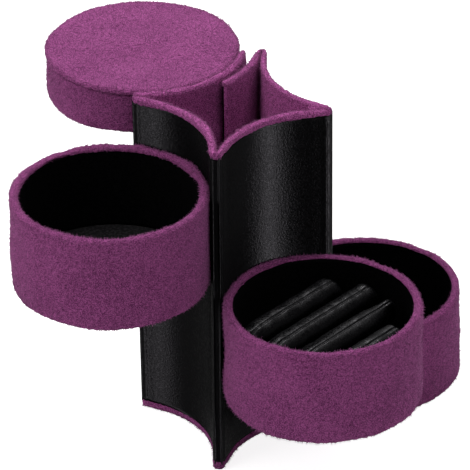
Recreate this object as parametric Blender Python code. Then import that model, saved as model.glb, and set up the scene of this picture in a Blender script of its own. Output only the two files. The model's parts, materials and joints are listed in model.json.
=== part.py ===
"""Three-tier roll-up jewellery case, unrolled inside out into a four-pointed star.

Each tier is a curved panel that carries a round tub or the lid.  Every tier is modelled
about the axis of the closed cylinder, where all tiers share one centre, and is then opened
by turning it about its fold.  Lengths are metres, angles are degrees, +Z is up, and the
origin is on the floor under the middle of the opened case.
"""
import math

import bmesh
import bpy
from mathutils import Matrix, Vector

# Cloth, card and fit
suede_thickness = 0.0008
satin_thickness = 0.0005
clearance = 0.0003
weld_distance = 0.000001
cut_overrun = 0.002

# Tubs
tub_radius = 0.0475
tub_height = 0.0474
tub_board = 0.0020
base_board = 0.0020
floor_card = 0.0013
rim_round = 0.0015
rim_wrap = 0.0020
hem_width = 0.0036
hem_round = 0.0006

# Levels of the tubs and the lid on their panels
middle_gap = 0.0024
upper_gap = 0.0058
lid_gap = 0.0010

# Lid
lid_height = 0.0242
lid_overhang = 0.0003
lid_cover_thickness = 0.0023
lid_cover_round = 0.0011
lid_cover_crown = 0.0003
ceiling_card = 0.0013

# Panels and folds
panel_board = 0.0018
panel_round = 0.0015
edge_wrap = 0.0035
fold_slack = 0.0003
fold_margin = 0.00235
fold_strip_radius = 0.0019
closing_gap = 0.0113

# Closure flap
flap_clearance = 0.0005
flap_width = 0.0398
magnet_radius = 0.0050
magnet_thickness = 0.0012
magnet_inset = 0.0080
magnet_spacing = 0.1100

# Ring cushion in the middle tub
ring_bed_height = 0.0210
ring_bed_crown = 0.0010
ring_bed_round = 0.0025
roll_count = 4
roll_gap = 0.0020
roll_end_gap = 0.0050
first_roll_margin = 0.0165
last_roll_margin = 0.0047

# How far each fold is open in the star, from 0 back to back to 180 edge to edge
closed_fold = 180.0
lower_fold_open = 11.7
upper_fold_open = 0.9
lid_fold_open = 6.2
flap_fold_open = -7.0

# How far round the closed cylinder the panels reach; the lid panel takes what is left
full_turn = 360.0
right_angle = 90.0
bottom_start = 180.0
bottom_span = 85.3
middle_span = 87.0
upper_span = 87.2
roll_direction = 230.8

# Facets
round_steps = 48
panel_steps = 12
flap_steps = 6
disc_steps = 24
round_edge_steps = 2
roll_sides = 14
strip_sides = 12
smooth_angle = 35.0

# Along half a roll: shares of its half length, and of its radius there
roll_station_shares = ((0.0, 1.0), (0.5, 1.0), (0.84, 0.97), (0.93, 0.88), (0.98, 0.68), (1.0, 0.36))
roll_flat_share = 0.80

# Layers of a tub wall, from the outside in
tub_board_outer = tub_radius - suede_thickness - clearance
tub_board_inner = tub_board_outer - tub_board
tub_lining_outer = tub_board_inner - clearance
tub_lining_inner = tub_lining_outer - satin_thickness

# Layers of a panel, from the inside out
panel_inner = tub_radius + clearance
panel_lining_outer = panel_inner + satin_thickness
panel_board_inner = panel_lining_outer + clearance
panel_board_outer = panel_board_inner + panel_board
panel_suede_inner = panel_board_outer + clearance
panel_outer = panel_suede_inner + suede_thickness

# Layers of the flap, which lies over the lid panel when the case is closed
flap_inner = panel_outer + flap_clearance
flap_lining_outer = flap_inner + satin_thickness
flap_board_inner = flap_lining_outer + clearance
flap_board_outer = flap_board_inner + panel_board
flap_suede_inner = flap_board_outer + clearance
flap_outer = flap_suede_inner + suede_thickness

# Folds turn where the suede faces of two neighbours meet
fold_radius = panel_outer + fold_slack
flap_fold_radius = (panel_outer + flap_outer) / 2 + fold_slack

# Rolls side by side across the tub, between a margin at each side
roll_room = 2 * tub_lining_inner - first_roll_margin - last_roll_margin
roll_radius = (roll_room - (roll_count - 1) * roll_gap) / (2 * roll_count)
roll_pitch = 2 * roll_radius + roll_gap
first_roll_offset = tub_lining_inner - first_roll_margin - roll_radius

# Where each panel starts round the closed cylinder
middle_start = bottom_start + bottom_span
upper_start = middle_start + middle_span
lid_start = upper_start + upper_span

# Heights
middle_level = tub_height + middle_gap
upper_level = middle_level + tub_height + upper_gap
lid_level = upper_level + tub_height + lid_gap
panel_height = lid_level + lid_height


def arc_angle(length, radius):
    """Degrees that an arc length takes at a radius."""
    return math.degrees(length / radius)


fold_margin_angle = arc_angle(fold_margin, fold_radius)
lid_end = bottom_start + full_turn - arc_angle(closing_gap, fold_radius)
flap_free_edge = bottom_start - arc_angle(flap_width, flap_outer)
latch_angle = flap_free_edge + arc_angle(magnet_inset, flap_outer)


def polar(radius, angle):
    """Point in plan at a radius and an angle from +X."""
    return Vector((radius * math.cos(math.radians(angle)), radius * math.sin(math.radians(angle)), 0.0))


def clear_scene():
    """Take away whatever the open file holds."""
    for item in list(bpy.data.objects):
        bpy.data.objects.remove(item, do_unlink=True)


def material(name, colour, roughness, metallic=0.0, sheen=0.0):
    """Plain Principled material."""
    made = bpy.data.materials.new(name)
    made.use_nodes = True
    shader = made.node_tree.nodes["Principled BSDF"]
    shader.inputs["Base Color"].default_value = (*colour, 1.0)
    shader.inputs["Roughness"].default_value = roughness
    shader.inputs["Metallic"].default_value = metallic
    shader.inputs["Sheen Weight"].default_value = sheen
    made.diffuse_color = (*colour, 1.0)
    return made


def finished(name, bm, look, parent=None):
    """Turn a bmesh into a named, smoothly shaded object under its tier's frame."""
    bmesh.ops.remove_doubles(bm, verts=bm.verts, dist=weld_distance)
    bmesh.ops.dissolve_degenerate(bm, edges=bm.edges, dist=weld_distance)
    bmesh.ops.recalc_face_normals(bm, faces=bm.faces)
    mesh = bpy.data.meshes.new(name)
    bm.to_mesh(mesh)
    bm.free()
    mesh.shade_smooth()
    mesh.set_sharp_from_angle(angle=math.radians(smooth_angle))
    mesh.materials.append(look)
    made = bpy.data.objects.new(name, mesh)
    bpy.context.collection.objects.link(made)
    if parent is not None:
        made.parent = parent["axis"]
        made.location = parent["centre"]
    return made


def section(bm, outline, angle=0.0):
    """Vertices of an outline of (radius, height) pairs, stood up at an angle."""
    return [bm.verts.new(polar(radius, angle) + Vector((0.0, 0.0, height))) for radius, height in outline]


def sector(name, outline, start, end, steps, look, parent=None):
    """Turn a closed section through an arc, with flat ends."""
    bm = bmesh.new()
    face = bm.faces.new(section(bm, outline, start))
    bmesh.ops.spin(
        bm, geom=[face], cent=(0, 0, 0), axis=(0, 0, 1), angle=math.radians(end - start), steps=steps
    )
    return finished(name, bm, look, parent)


def turned(name, outline, look, parent=None, closed=True):
    """Turn a section all the way round; an open one starts and ends on the axis."""
    bm = bmesh.new()
    verts = section(bm, outline)
    pairs = list(zip(verts, verts[1:]))
    if closed:
        pairs.append((verts[-1], verts[0]))
    edges = [bm.edges.new(pair) for pair in pairs]
    bmesh.ops.spin(
        bm,
        geom=verts + edges,
        cent=(0, 0, 0),
        axis=(0, 0, 1),
        angle=math.tau,
        steps=round_steps,
        use_merge=True,
    )
    return finished(name, bm, look, parent)


def round_edge(radius, height, size, start):
    """Quarter of a round edge about (radius, height), as (radius, height) pairs."""
    points = []
    for step in range(round_edge_steps + 1):
        angle = math.radians(start + right_angle * step / round_edge_steps)
        points.append((radius + size * math.cos(angle), height + size * math.sin(angle)))
    return points


def rectangle(inner, outer, low, high):
    """Square-edged section of a board or a lining."""
    return [(inner, low), (outer, low), (outer, high), (inner, high)]


def plate(radius, low, high):
    """Section of a round plate, from its axis out and back."""
    return [(0.0, low), (radius, low), (radius, high), (0.0, high)]


def rod(name, centre, direction, radius, length, sides, look, parent=None):
    """Round bar about a centre, along a direction."""
    bm = bmesh.new()
    turn = direction.to_track_quat("Z", "Y").to_matrix().to_4x4()
    bmesh.ops.create_cone(
        bm,
        cap_ends=True,
        segments=sides,
        radius1=radius,
        radius2=radius,
        depth=length,
        matrix=Matrix.Translation(centre) @ turn,
    )
    return finished(name, bm, look, parent)


def cut(target, cutter):
    """Take the cutter's shape out of the target."""
    cutter.hide_render = True
    cutter.display_type = "WIRE"
    step = target.modifiers.new("Cut by " + cutter.name, "BOOLEAN")
    step.operation = "DIFFERENCE"
    step.solver = "EXACT"
    step.object = cutter


def frame(name, parent, fold, swing):
    """Empty on a fold's axis.  What it carries is placed by the closed cylinder's centre."""
    axis = bpy.data.objects.new(name, None)
    bpy.context.collection.objects.link(axis)
    axis.rotation_euler.z = math.radians(swing)
    axis.location = fold if parent is None else parent["centre"] + fold
    if parent is not None:
        axis.parent = parent["axis"]
    return {"axis": axis, "centre": -fold}


def opened_centres():
    """Plan centres of the four round pieces once the folds are open."""
    folds = (
        (polar(fold_radius, middle_start), lower_fold_open),
        (polar(fold_radius, upper_start), upper_fold_open),
        (polar(fold_radius, lid_start), lid_fold_open),
    )
    centres = [Vector((0.0, 0.0, 0.0))]
    placed = Matrix.Identity(4)
    for fold, fold_open in folds:
        swing = Matrix.Rotation(math.radians(fold_open - closed_fold), 4, "Z")
        placed = placed @ Matrix.Translation(fold) @ swing @ Matrix.Translation(-fold)
        centres.append(placed @ Vector((0.0, 0.0, 0.0)))
    return centres


def stand_point():
    """Middle of the opened case's outline, on the floor."""
    centres = opened_centres()
    middle = Vector((0.0, 0.0, 0.0))
    for axis in (0, 1):
        places = [centre[axis] for centre in centres]
        middle[axis] = (min(places) + max(places)) / 2
    return middle


# Panels: a board between a suede cover and a satin lining
def rounded_block(inner, outer):
    """Full section of a panel with soft top and bottom edges."""
    low = panel_round
    high = panel_height - panel_round
    return (
        round_edge(outer - panel_round, low, panel_round, -right_angle)
        + round_edge(outer - panel_round, high, panel_round, 0.0)
        + round_edge(inner + panel_round, high, panel_round, right_angle)
        + round_edge(inner + panel_round, low, panel_round, 2 * right_angle)
    )


def pocket_section(inner, lining_outer, suede_inner):
    """Section of the space that the board and the lining fill, open to the satin side."""
    board_low = suede_thickness
    lining_low = edge_wrap
    return [
        (inner - cut_overrun, lining_low),
        (lining_outer, lining_low),
        (lining_outer, board_low),
        (suede_inner, board_low),
        (suede_inner, panel_height - board_low),
        (lining_outer, panel_height - board_low),
        (lining_outer, panel_height - lining_low),
        (inner - cut_overrun, panel_height - lining_low),
    ]


def wrap_angle(radius):
    """Degrees that the suede takes where it turns over an upright edge."""
    return arc_angle(suede_thickness, radius)


def panel_suede(name, start, end, steps, radii, free, parent):
    """Suede cover, wrapped over the top, the bottom and any free upright edge."""
    inner, lining_outer, suede_inner, outer = radii
    cover = sector(name, rounded_block(inner, outer), start, end, steps, looks["suede"], parent)
    overrun = arc_angle(cut_overrun, inner)
    first = start + wrap_angle(outer) if free == "start" else start - overrun
    last = end - wrap_angle(outer) if free == "end" else end + overrun
    hollow = pocket_section(inner, lining_outer, suede_inner)
    cutter = sector(name + "_pocket", hollow, first, last, steps, looks["suede"], parent)
    cut(cover, cutter)
    return cover


def panel_layers(tier, start, end, steps, radii, free, parent):
    """The three layers of a panel, with the suede round the other two."""
    inner, lining_outer, board_inner, board_outer, suede_inner, outer = radii
    skin_radii = (inner, lining_outer, suede_inner, outer)
    panel_suede(tier + "_suede", start, end, steps, skin_radii, free, parent)
    inset = wrap_angle(outer) + arc_angle(clearance, inner)
    first = start + inset if free == "start" else start
    last = end - inset if free == "end" else end
    board_low = suede_thickness + clearance
    board = rectangle(board_inner, board_outer, board_low, panel_height - board_low)
    made = sector(tier + "_board", board, first, last, steps, looks["board"], parent)
    lining_low = edge_wrap + clearance
    lining = rectangle(inner, lining_outer, lining_low, panel_height - lining_low)
    sector(tier + "_lining", lining, first, last, steps, looks["satin"], parent)
    return made


def curved_panel(tier, start, end, parent, free_end=False):
    """Curved panel of the closed cylinder, from fold to fold or from a fold to its free end."""
    first = start + fold_margin_angle
    last = end if free_end else end - fold_margin_angle
    radii = (
        panel_inner,
        panel_lining_outer,
        panel_board_inner,
        panel_board_outer,
        panel_suede_inner,
        panel_outer,
    )
    free = "end" if free_end else None
    return panel_layers(tier + "_panel", first, last, panel_steps, radii, free, parent)


# Tubs: a card ring on a card base, covered in suede and lined in satin
def tub_suede_section(level):
    """Suede over the wall, the rim and the bottom edge."""
    top = level + tub_height
    under_rim = top - suede_thickness
    over_hem = level + suede_thickness
    hem_inner = tub_radius - hem_width
    rim = round_edge(tub_radius - rim_round, top - rim_round, rim_round, 0.0)
    rim += round_edge(tub_lining_inner + rim_round, top - rim_round, rim_round, right_angle)
    return [
        (hem_inner, level),
        (tub_radius - hem_round, level),
        (tub_radius, level + hem_round),
        *rim,
        (tub_lining_inner, top - rim_wrap),
        (tub_lining_outer, top - rim_wrap),
        (tub_lining_outer, under_rim),
        (tub_board_outer + clearance, under_rim),
        (tub_board_outer + clearance, over_hem),
        (hem_inner, over_hem),
    ]


def tub(tier, level, parent):
    """Round open tub whose bottom is at a level."""
    top = level + tub_height
    base_low = level + suede_thickness + clearance
    base_high = base_low + base_board
    wall_low = base_high + clearance
    floor_high = wall_low + floor_card
    wall_high = top - suede_thickness - clearance
    turned(tier + "_tub_suede", tub_suede_section(level), looks["suede"], parent)
    wall = rectangle(tub_board_inner, tub_board_outer, wall_low, wall_high)
    turned(tier + "_tub_wall", wall, looks["board"], parent)
    base = plate(tub_board_outer, base_low, base_high)
    turned(tier + "_tub_base", base, looks["board"], parent, closed=False)
    underside = plate(tub_radius - hem_width - clearance, level, level + suede_thickness)
    turned(tier + "_tub_underside", underside, looks["suede"], parent, closed=False)
    floor = plate(tub_lining_outer, wall_low, floor_high)
    turned(tier + "_tub_floor", floor, looks["flock"], parent, closed=False)
    lining_low = floor_high + clearance
    lining_high = top - rim_wrap - clearance
    lining = rectangle(tub_lining_inner, tub_lining_outer, lining_low, lining_high)
    turned(tier + "_tub_lining", lining, looks["satin"], parent)
    return lining_low


# Ring cushion: a crowned bed with four stuffed rolls
def ring_bed(level, parent):
    """Satin-covered foam disc that raises the rolls."""
    radius = tub_lining_inner - clearance
    top = level + ring_bed_height
    outline = [
        (0.0, level),
        (radius, level),
        (radius, top - ring_bed_round),
        (radius - ring_bed_round, top - ring_bed_crown),
        (radius - 2 * ring_bed_round, top),
        (0.0, top),
    ]
    turned("ring_bed", outline, looks["satin"], parent, closed=False)
    return top + clearance


def roll_half_length(offset):
    """Half the length that fits across the tub at an offset from its middle."""
    reach = tub_lining_inner - roll_end_gap
    across = abs(offset) + roll_radius / 2
    return math.sqrt(reach**2 - across**2)


def ring_roll(name, offset, level, parent):
    """Stuffed roll with drawn-in ends, flattened where it lies on the bed."""
    half = roll_half_length(offset)
    along = polar(1.0, roll_direction)
    across = polar(1.0, roll_direction + right_angle)
    up = Vector((0.0, 0.0, 1.0))
    middle = across * offset + up * (level + roll_radius * roll_flat_share)
    stations = [(-place, size) for place, size in reversed(roll_station_shares)]
    stations += list(roll_station_shares[1:])
    bm = bmesh.new()
    rings = []
    for place, size in stations:
        ring = []
        for side in range(roll_sides):
            angle = 2 * math.pi * side / roll_sides
            width = roll_radius * size * math.cos(angle)
            height = max(roll_radius * size * math.sin(angle), -roll_radius * roll_flat_share)
            ring.append(bm.verts.new(middle + along * (place * half) + across * width + up * height))
        rings.append([bm.edges.new((a, b)) for a, b in zip(ring, ring[1:] + ring[:1])])
    for near, far in zip(rings, rings[1:]):
        bmesh.ops.bridge_loops(bm, edges=near + far)
    bmesh.ops.contextual_create(bm, geom=rings[0])
    bmesh.ops.contextual_create(bm, geom=rings[-1])
    return finished(name, bm, looks["satin"], parent)


def ring_cushion(level, parent):
    """Bed and rolls in the middle tub."""
    roll_level = ring_bed(level, parent)
    for number in range(roll_count):
        offset = first_roll_offset - number * roll_pitch
        ring_roll("ring_roll_" + str(number + 1), offset, roll_level, parent)


# Lid: a closed cap whose top is level with the panels
def lid(parent):
    """Shallow cap, open underneath, with a padded top."""
    side_radius = tub_radius - lid_overhang
    board_outer = side_radius - suede_thickness - clearance
    board_inner = board_outer - tub_board
    lining_outer = board_inner - clearance
    lining_inner = lining_outer - satin_thickness
    top = lid_level + lid_height
    cover_low = top - lid_cover_thickness
    side_top = cover_low - clearance
    board_high = side_top
    board_low = board_high - base_board
    ceiling_high = board_low - clearance
    ceiling_low = ceiling_high - ceiling_card
    over_hem = lid_level + suede_thickness
    side = [
        *round_edge(side_radius - rim_round, lid_level + rim_round, rim_round, -right_angle),
        (side_radius, side_top),
        (side_radius - suede_thickness, side_top),
        (side_radius - suede_thickness, over_hem),
        (lining_outer, over_hem),
        (lining_outer, lid_level + rim_wrap),
        (lining_inner, lid_level + rim_wrap),
        *round_edge(lining_inner + rim_round, lid_level + rim_round, rim_round, 2 * right_angle),
    ]
    turned("lid_side_suede", side, looks["suede"], parent)
    wall = rectangle(board_inner, board_outer, over_hem + clearance, ceiling_high)
    turned("lid_wall", wall, looks["board"], parent)
    turned("lid_top_board", plate(board_outer, board_low, board_high), looks["board"], parent, closed=False)
    ceiling = plate(lining_outer, ceiling_low, ceiling_high)
    turned("lid_ceiling", ceiling, looks["satin"], parent, closed=False)
    lining_low = lid_level + rim_wrap + clearance
    lining = rectangle(lining_inner, lining_outer, lining_low, ceiling_low - clearance)
    turned("lid_lining", lining, looks["satin"], parent)
    cover = [
        (0.0, cover_low),
        (tub_radius - lid_cover_round, cover_low),
        (tub_radius, cover_low + lid_cover_round),
        (tub_radius, top - lid_cover_round - lid_cover_crown),
        (tub_radius - lid_cover_round, top - lid_cover_crown),
        (tub_radius - 4 * lid_cover_round, top),
        (0.0, top),
    ]
    turned("lid_top_cover", cover, looks["suede"], parent, closed=False)


# Magnets in the flap meet steel keepers in the lid panel
def latch_pair(name, board, radius, angle, look, parent):
    """Two discs let into a board, one high and one low."""
    direction = polar(1.0, angle)
    for number, side in enumerate((1, -1), start=1):
        height = panel_height / 2 + side * magnet_spacing / 2
        centre = direction * radius + Vector((0.0, 0.0, height))
        pocket_radius = magnet_radius + clearance
        pocket_depth = panel_board + cut_overrun
        pocket_name = name + "_pocket_" + str(number)
        pocket = rod(pocket_name, centre, direction, pocket_radius, pocket_depth, disc_steps, look, parent)
        cut(board, pocket)
        disc_name = name + "_" + str(number)
        rod(disc_name, centre, direction, magnet_radius, magnet_thickness, disc_steps, look, parent)


def fold_strip(name, radius, angle, parent):
    """Rolled fabric that joins two panels along a fold."""
    centre = polar(radius, angle) + Vector((0.0, 0.0, panel_height / 2))
    upright = Vector((0.0, 0.0, 1.0))
    length = panel_height - 2 * clearance
    return rod(name, centre, upright, fold_strip_radius, length, strip_sides, looks["suede"], parent)


def bottom_tier(parent):
    curved_panel("bottom", bottom_start, middle_start, parent)
    tub("bottom", 0.0, parent)
    fold_strip("flap_fold_strip", flap_fold_radius, bottom_start, parent)


def middle_tier(parent):
    curved_panel("middle", middle_start, upper_start, parent)
    cushion_level = tub("middle", middle_level, parent)
    ring_cushion(cushion_level, parent)
    fold_strip("lower_fold_strip", fold_radius, middle_start, parent)


def upper_tier(parent):
    curved_panel("upper", upper_start, lid_start, parent)
    tub("upper", upper_level, parent)
    fold_strip("upper_fold_strip", fold_radius, upper_start, parent)


def lid_tier(parent):
    board = curved_panel("lid", lid_start, lid_end, parent, free_end=True)
    lid(parent)
    board_middle = (panel_board_inner + panel_board_outer) / 2
    latch_pair("lid_keeper", board, board_middle, latch_angle, looks["steel"], parent)
    fold_strip("lid_fold_strip", fold_radius, lid_start, parent)


def closure_flap(parent):
    """Narrow panel that laps over the lid panel and holds the case shut."""
    radii = (
        flap_inner,
        flap_lining_outer,
        flap_board_inner,
        flap_board_outer,
        flap_suede_inner,
        flap_outer,
    )
    last = bottom_start - fold_margin_angle
    board = panel_layers("flap", flap_free_edge, last, flap_steps, radii, "start", parent)
    board_middle = (flap_board_inner + flap_board_outer) / 2
    latch_pair("flap_magnet", board, board_middle, latch_angle, looks["magnet"], parent)


clear_scene()
looks = {
    "suede": material("purple_suede", (0.185, 0.028, 0.150), 0.95, sheen=0.4),
    "satin": material("black_satin", (0.008, 0.008, 0.010), 0.38),
    "board": material("grey_board", (0.30, 0.28, 0.25), 0.90),
    "flock": material("black_flock", (0.020, 0.020, 0.022), 0.98),
    "steel": material("keeper_steel", (0.55, 0.55, 0.56), 0.35, metallic=1.0),
    "magnet": material("magnet_nickel", (0.62, 0.60, 0.57), 0.25, metallic=1.0),
}

stand = stand_point()
base = frame("case_centre", None, -stand, 0.0)
base["centre"] = Vector((0.0, 0.0, 0.0))
lower_fold = polar(fold_radius, middle_start)
upper_fold = polar(fold_radius, upper_start)
lid_fold = polar(fold_radius, lid_start)
flap_fold = polar(flap_fold_radius, bottom_start)
lower = frame("lower_fold_axis", base, lower_fold, lower_fold_open - closed_fold)
upper = frame("upper_fold_axis", lower, upper_fold, upper_fold_open - closed_fold)
lid_frame = frame("lid_fold_axis", upper, lid_fold, lid_fold_open - closed_fold)
flap_frame = frame("flap_fold_axis", base, flap_fold, closed_fold - flap_fold_open)

bottom_tier(base)
middle_tier(lower)
upper_tier(upper)
lid_tier(lid_frame)
closure_flap(flap_frame)
bpy.context.view_layer.update()
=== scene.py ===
"""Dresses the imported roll-up jewellery case in suede, satin and flock, as photographed.

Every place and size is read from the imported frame, so each piece lies where its solid lies.
Lengths are metres.  Angles are radians, unless a name ends in degrees.
"""
import json  # noqa: E402
import math  # noqa: E402

import bmesh  # noqa: E402
import bpy  # noqa: E402
import numpy as np  # noqa: E402
from mathutils import Matrix, Vector  # noqa: E402

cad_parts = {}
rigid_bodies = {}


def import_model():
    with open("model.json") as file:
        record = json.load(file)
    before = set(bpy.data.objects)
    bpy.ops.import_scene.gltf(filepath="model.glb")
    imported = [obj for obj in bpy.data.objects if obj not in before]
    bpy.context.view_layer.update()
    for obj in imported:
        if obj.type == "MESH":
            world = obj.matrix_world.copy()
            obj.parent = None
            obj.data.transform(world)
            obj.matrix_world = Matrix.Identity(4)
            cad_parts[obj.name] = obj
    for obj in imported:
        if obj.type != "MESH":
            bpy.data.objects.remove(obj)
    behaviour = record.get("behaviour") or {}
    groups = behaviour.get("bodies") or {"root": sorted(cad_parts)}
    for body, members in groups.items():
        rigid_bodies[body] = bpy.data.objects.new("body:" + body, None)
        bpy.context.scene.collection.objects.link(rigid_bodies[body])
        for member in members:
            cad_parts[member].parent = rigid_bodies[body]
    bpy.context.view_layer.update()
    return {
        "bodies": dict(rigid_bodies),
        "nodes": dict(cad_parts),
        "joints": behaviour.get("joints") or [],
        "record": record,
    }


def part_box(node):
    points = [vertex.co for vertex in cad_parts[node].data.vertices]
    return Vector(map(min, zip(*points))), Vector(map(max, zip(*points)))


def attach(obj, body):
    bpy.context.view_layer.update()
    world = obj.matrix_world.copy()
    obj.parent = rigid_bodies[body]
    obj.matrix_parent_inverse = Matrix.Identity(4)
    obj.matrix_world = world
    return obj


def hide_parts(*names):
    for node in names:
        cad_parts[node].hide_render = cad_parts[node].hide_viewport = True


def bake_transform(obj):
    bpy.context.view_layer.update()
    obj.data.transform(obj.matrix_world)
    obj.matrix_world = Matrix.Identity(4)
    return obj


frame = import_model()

# Photograph: the camera stands off the bottom tub's axis, at this height up it
photo_width_px = 470.0
sensor_width_mm = 36.0
camera_azimuth_degrees = 13.744
camera_elevation_degrees = 30.231
camera_roll_degrees = -0.646
camera_distance = 2.2120
camera_focal_px = 4438.5
camera_aim_height = 0.085
camera_right = -0.0647
camera_up = -0.0071

# Cloth
suede_skin = 0.0008
satin_recess = 0.00035
satin_skin = 0.00015
cell = 0.0012
floor_clearance = 0.00003

# Nap: how far the pile lifts and dips, and over what distance
pile_lift = 0.00017
pile_wave = 0.0019
slack_lift = 0.00026
slack_wave = 0.0300

# Loose fibres: on each square metre of rounded edge and of plain face, and their size
edge_fibres = 2.1e6
face_fibres = 0.40e6
fibre_length = (0.00050, 0.00170)
fibre_width = 0.00014
fibre_lean = (0.15, 1.15)

# Panels
bead_wrap = 0.0029
foot_wrap = 0.0040
bead_height = 0.00185
lip_depth = 0.0005
thinned = {"bottom_panel": 0.0006, "middle_panel": 0.0004}
fold_steps = 8
free_round = 0.0012
tip_pinch = 0.0010
tip_pinch_length = 0.0100
least_share = 0.12

# How far each fold's cloth reaches past its axis, away from the star's middle
tip_reach = {"flap_fold": 0.0009, "lower_fold": -0.0020, "upper_fold": -0.0001, "lid_fold": -0.0014}

# At each fold: length of a panel's rounded end, where its apex lies across the panel, and half the cap's width
fold_length = {"flap_fold": 0.0045, "lower_fold": 0.0022, "upper_fold": 0.0026, "lid_fold": 0.0024}
apex_share = {"flap_fold": 0.10, "lower_fold": 0.30, "upper_fold": 0.25, "lid_fold": 0.35}
cap_half = {"flap_fold": 0.0012, "lower_fold": 0.0024, "upper_fold": 0.0028, "lid_fold": 0.0024}
free_apex = 0.42
board_clear = 0.0100

# Seams in the satin where it turns a panel's upright edge
ridge_place = 0.0026
ridge_height = 0.00035
ridge_width = 0.0007

# How far some folds lean inwards at their foot, over what distance from the fold
fold_lean = {"lid_fold": 0.0014, "upper_fold": -0.0030}
lean_spread = (0.003, 0.014)

# Cloth across a fold
strip_skin = 0.0003
strip_steps = 14
strip_rows = 60
strip_round = 0.0004
strip_depth = 0.0022
web_half = 0.0021
web_ridge = 0.00165
web_ridge_width = 0.00040
web_base = 0.00012
web_proud = 0.00040
web_turn = 0.0006
cap_proud = 0.0006
cap_depth = 0.0008
cap_rise = 0.0006
cap_reach = 0.0004
lip_rise = 0.0006
strip_low = 0.0003
cap_lift = 0.0002
tip_drop = 0.0003
calm = 0.15

# Tubs
rim_height = 0.0019
rim_rise = 0.0007
rim_bulge = 0.0003
rim_wrap = {"bottom": 0.0011, "middle": 0.0009, "upper": 0.0020}
rim_wobble = 0.00012
rim_wobble_wave = 0.0140
hem_round = 0.0010
hem_width = 0.0036
lap_wrap = 0.0008
lap_inwards = 0.0002
rim_notch_depth = 0.0010
rim_notch_width = 0.0012
lining_reach = 0.0030
lid_wrap = 0.0020
card_sides = 120

# How far each tub's cloth sits off its card, to the camera's right
tub_shift = {"bottom": 0.0005, "middle": -0.0006, "upper": 0.0004}

# Ring rolls
crease_depth = 0.0006
crease_width = 0.0005
near_sag = 0.0022
near_tuck = 0.0045
roll_lift = 0.0012

# Lid
seam_round = 0.0009
lid_overhang = 0.0006
lid_edge = 0.0019
lid_crown = 0.0004
lid_rise = 0.0003


# Reading the frame
def node_points(name):
    """Vertices of a CAD node, in the row frame."""
    mesh = frame["nodes"][name].data
    points = np.empty(len(mesh.vertices) * 3)
    mesh.vertices.foreach_get("co", points)
    return points.reshape(-1, 3)


def plan_centre(name):
    """Middle of a round node, in plan."""
    low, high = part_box(name)
    return np.array([(low.x + high.x) / 2, (low.y + high.y) / 2])


def polar_about(centre, points):
    """Radius and angle of points about a plan centre."""
    away = points[:, :2] - centre
    return np.hypot(away[:, 0], away[:, 1]), np.arctan2(away[:, 1], away[:, 0])


def angle_to(centre, point):
    """Direction in plan from a centre to a point."""
    return math.atan2(point[1] - centre[1], point[0] - centre[0])


def near_turn(angle, reference):
    """The same angle, within half a turn of a reference."""
    return reference + (angle - reference + math.pi) % math.tau - math.pi


fold_axes = {joint["name"]: np.array(joint["pos_m"][:2]) for joint in frame["joints"]}


# Random fields, always the same
def waves(points, length, seed, count=40):
    """Smooth field of about unit size over points, from seeded plane waves."""
    source = np.random.default_rng(seed)
    directions = source.normal(size=(count, 3))
    directions /= np.linalg.norm(directions, axis=1)[:, None]
    lengths = length * source.uniform(0.7, 1.6, count)
    phases = source.uniform(0.0, math.tau, count)
    field = np.zeros(len(points))
    for direction, wave, phase in zip(directions, lengths, phases):
        field += np.sin(points @ direction * (math.tau / wave) + phase)
    return field * math.sqrt(2.0 / count)


def bell(distance, width):
    """One at zero, and falling away over a width."""
    return np.exp(-((distance / width) ** 2))


def step(value, low, high):
    """Smooth step from 0 at low to 1 at high."""
    share = np.clip((value - low) / (high - low), 0.0, 1.0)
    return share * share * (3.0 - 2.0 * share)


# Outlines
def run(start, end, spacing):
    """Points from start up to, but not at, end."""
    start, end = np.asarray(start, float), np.asarray(end, float)
    count = max(1, math.ceil(np.linalg.norm(end - start) / spacing))
    return start + (end - start) * (np.arange(count) / count)[:, None]


def bend(centre, width, height, start_degrees, end_degrees, steps):
    """Points on a quarter or half of an ellipse, both ends kept."""
    turn = np.radians(np.linspace(start_degrees, end_degrees, steps + 1))
    return np.stack([centre[0] + width * np.cos(turn), centre[1] + height * np.sin(turn)], 1)


# Meshes
def grid_faces(rows, columns, closed_rows, closed_columns):
    """Quads between neighbouring rows and columns of points."""
    row, column = np.meshgrid(
        np.arange(rows if closed_rows else rows - 1),
        np.arange(columns if closed_columns else columns - 1),
        indexing="ij",
    )
    next_row, next_column = (row + 1) % rows, (column + 1) % columns
    corners = [row * columns + column, next_row * columns + column]
    corners += [next_row * columns + next_column, row * columns + next_column]
    return np.stack([corner.ravel() for corner in corners], 1).tolist()


def mesh_piece(name, points, faces, look):
    """Closed, smoothly shaded mesh with its normals outwards."""
    mesh = bpy.data.meshes.new(name)
    mesh.from_pydata(np.asarray(points).tolist(), [], faces)
    bm = bmesh.new()
    bm.from_mesh(mesh)
    bmesh.ops.recalc_face_normals(bm, faces=bm.faces)
    bm.to_mesh(mesh)
    bm.free()
    mesh.shade_smooth()
    mesh.materials.append(look)
    made = bpy.data.objects.new(name, mesh)
    bpy.context.scene.collection.objects.link(made)
    return made


def swept(name, sections, look, closed=False):
    """Skin through rows of section points, closed round or with both ends capped."""
    rows, columns = sections.shape[:2]
    faces = grid_faces(rows, columns, closed, True)
    if not closed:
        faces.append(list(range(columns)))
        faces.append(list(range((rows - 1) * columns, rows * columns)))
    return mesh_piece(name, sections.reshape(-1, 3), faces, look)


def outlined(*parts):
    """Closed section from parts of points, and the fibres that each point carries."""
    points = [np.asarray(part, float).reshape(-1, 2) for part, _ in parts]
    fibres = [np.full(len(part), amount) for part, (_, amount) in zip(points, parts)]
    return np.concatenate(points), np.concatenate(fibres)


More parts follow.
